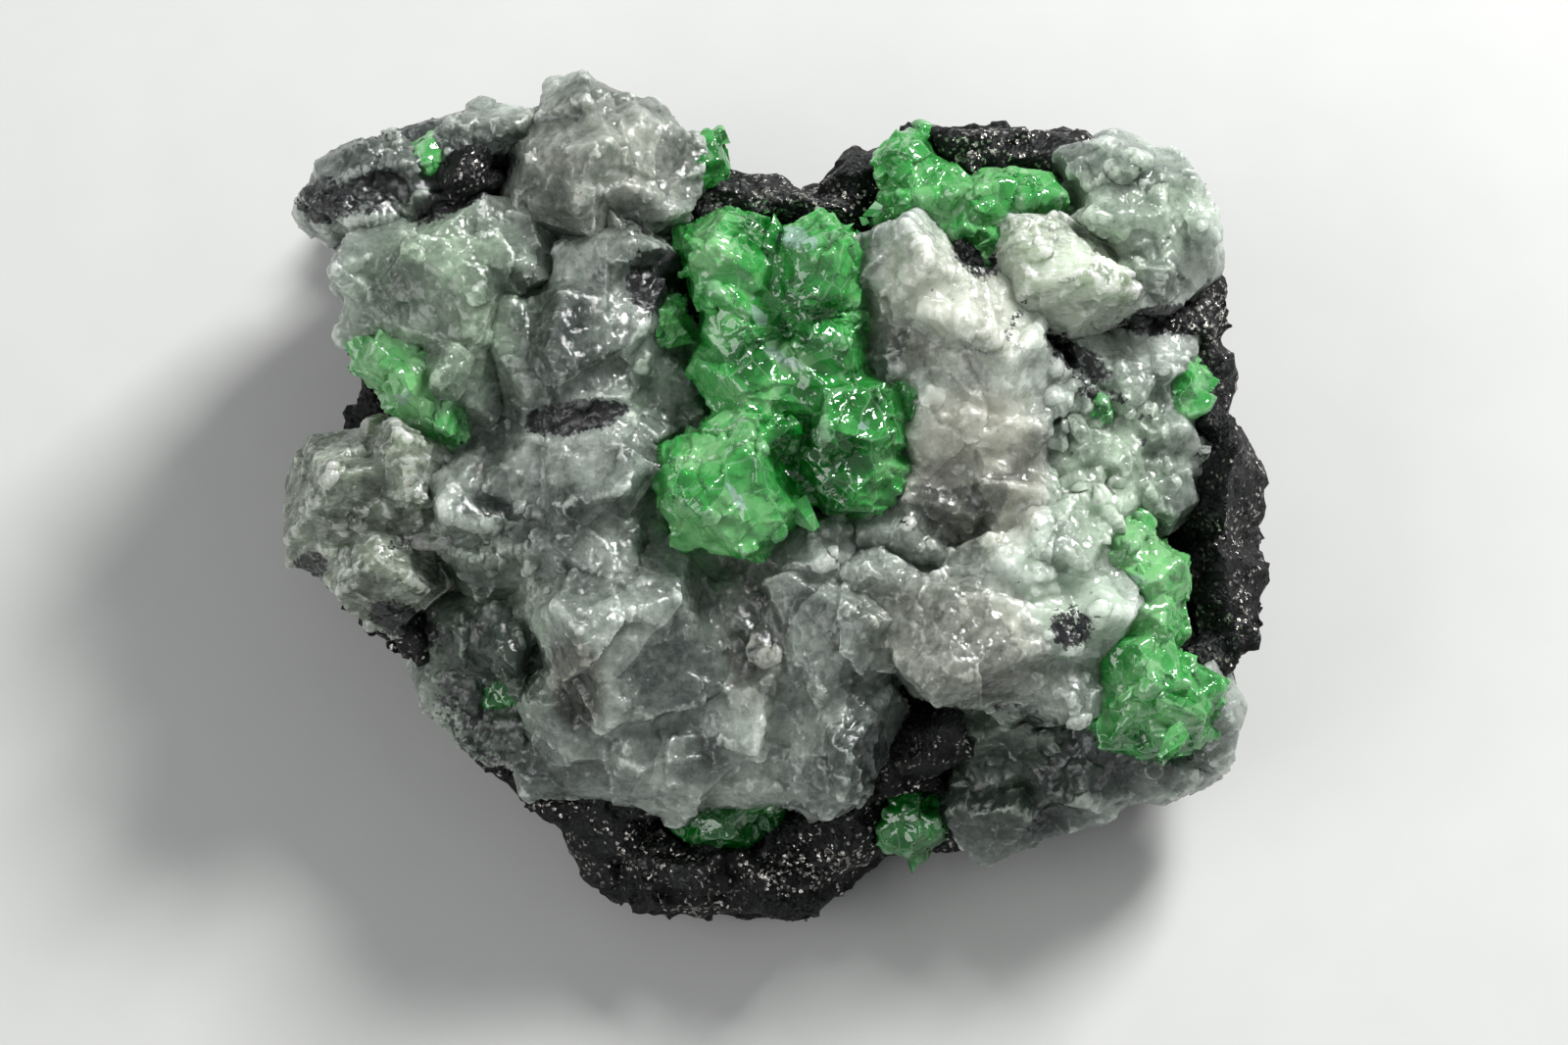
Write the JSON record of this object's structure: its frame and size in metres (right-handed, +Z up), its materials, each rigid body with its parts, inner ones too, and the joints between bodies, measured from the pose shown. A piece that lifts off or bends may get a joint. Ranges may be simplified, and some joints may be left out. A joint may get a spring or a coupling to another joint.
{
  "type": "tsavorite garnet specimen",
  "caption": "Hand specimen of green tsavorite garnet crystals in grey-white quartz on black graphite rock, lying on its broken back.",
  "frame": {"origin": "middle of the bounding box, on the face that the stone rests on", "axes": "+X along the longest extent, to the right as the crystal face is seen; +Z up, along the shortest extent; the crystal face looks up and leans 21 degrees towards -Y"},
  "size_m": [0.0242, 0.0218, 0.013],
  "materials": {
    "graphite": "rough black graphite-bearing rock with silvery flakes",
    "quartz": "cloudy grey-white quartz with fresh broken faces",
    "pale": "pale greenish translucent crystal",
    "garnet": "clear bright green garnet with fractures"
  },
  "bodies": {
    "root": {"graphite_matrix": "graphite", "quartz_tooth": "quartz", "quartz_left_block": "quartz", "quartz_centre_left": "quartz", "quartz_lower": "quartz", "quartz_right": "quartz", "quartz_lower_right": "quartz", "quartz_foot": "quartz", "quartz_upper_right": "quartz", "quartz_right_grains": "quartz", "quartz_upper_left": "quartz", "quartz_lower_left": "quartz", "pale_crystal_left": "pale", "pale_crystal_right": "pale", "garnet_centre": "garnet", "garnet_upper_right": "garnet", "garnet_left": "garnet", "garnet_lower_right": "garnet", "garnet_bottom": "garnet", "garnet_bottom_right": "garnet", "garnet_notch": "garnet", "garnet_upper_left": "garnet", "garnet_lower_left": "garnet", "garnet_right_small": "garnet", "garnet_chip": "garnet", "garnet_splinter": "garnet", "garnet_sliver": "garnet"}
  },
  "joints": []
}
